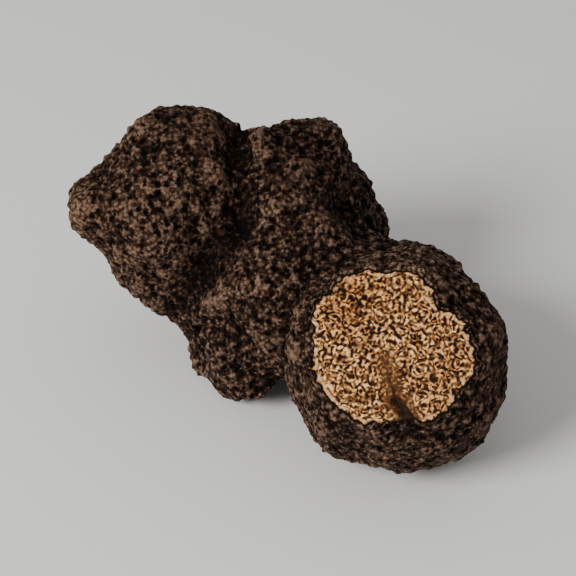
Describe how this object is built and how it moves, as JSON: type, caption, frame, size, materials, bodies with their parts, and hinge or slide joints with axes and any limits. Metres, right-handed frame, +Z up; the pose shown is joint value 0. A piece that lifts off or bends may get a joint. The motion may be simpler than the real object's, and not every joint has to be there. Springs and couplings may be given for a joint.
{
  "type": "black truffle",
  "caption": "Whole black truffle of several lobes with warty charcoal skin, a cap sliced off the front lobe showing pale marbled flesh.",
  "frame": {"origin": "on the resting plane, under the middle of the bounding box", "axes": "+Z up; +X along the longest extent, from the great lobe towards the sliced lobe; -Y is the front, which the cut face looks out of and up from"},
  "size_m": [0.104, 0.0924, 0.0638],
  "materials": {
    "skin": "matte",
    "flesh": "matte"
  },
  "bodies": {
    "root": {"truffle": "skin"}
  },
  "joints": []
}
